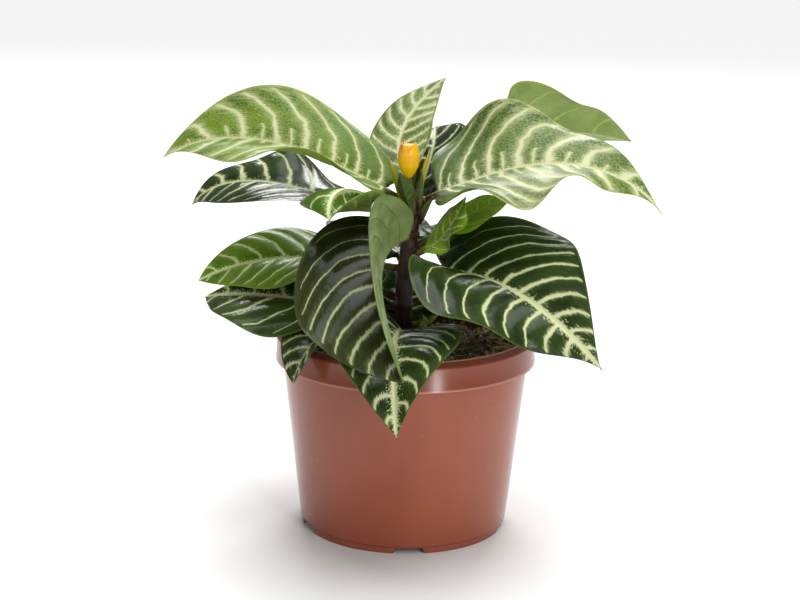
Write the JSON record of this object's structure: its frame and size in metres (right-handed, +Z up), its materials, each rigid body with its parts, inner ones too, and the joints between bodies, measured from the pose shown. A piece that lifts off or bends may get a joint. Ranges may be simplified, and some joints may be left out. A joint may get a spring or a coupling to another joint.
{
  "type": "potted zebra plant",
  "caption": "Zebra plant with dark, cream-veined leaves and a yellow flower bud, growing in a plain round terracotta-coloured plastic nursery pot.",
  "frame": {"origin": "middle of the pot's foot, at the height of the surface that it stands on", "axes": "+Z up along the pot's axis; -Y is the side that the arching front leaf faces, and +X is to the right when it is seen from there"},
  "size_m": [0.2502, 0.2103, 0.2185],
  "materials": {
    "pot_plastic": "terracotta-coloured, satin gloss",
    "soil": null,
    "stem": null,
    "bud_yellow": null,
    "leaf_pale": null,
    "leaf_green": null,
    "leaf_dark": null,
    "bract_green": null,
    "bract_yellow_green": null
  },
  "bodies": {
    "root": {"bract_back": "bract_green", "bract_front": "bract_green", "bract_left": "bract_yellow_green", "bract_low_right": "bract_green", "bract_narrow": "bract_green", "bract_right": "bract_yellow_green", "flower_bud": "bud_yellow", "leaf_basal_front": "leaf_green", "leaf_basal_left": "leaf_green", "leaf_front_arching": "leaf_dark", "leaf_low_back": "leaf_dark", "leaf_low_front": "leaf_dark", "leaf_low_front_left": "leaf_dark", "leaf_lower_back_left": "leaf_green", "leaf_lower_back_right": "leaf_dark", "leaf_lower_left": "leaf_dark", "leaf_middle_back_left": "leaf_dark", "leaf_middle_back_right": "leaf_green", "leaf_middle_left": "leaf_green", "leaf_middle_right": "leaf_dark", "leaf_small_right": "leaf_green", "leaf_top_back": "leaf_pale", "leaf_top_back_right": "leaf_green", "leaf_top_left": "leaf_pale", "leaf_top_right": "leaf_pale", "leaf_upper_back": "leaf_dark", "leaf_upper_front_folded": "leaf_green", "leaf_upper_left": "leaf_dark", "leaf_upper_right_back": "leaf_green", "pot": "pot_plastic", "soil": "soil", "stem": "stem"}
  },
  "joints": []
}
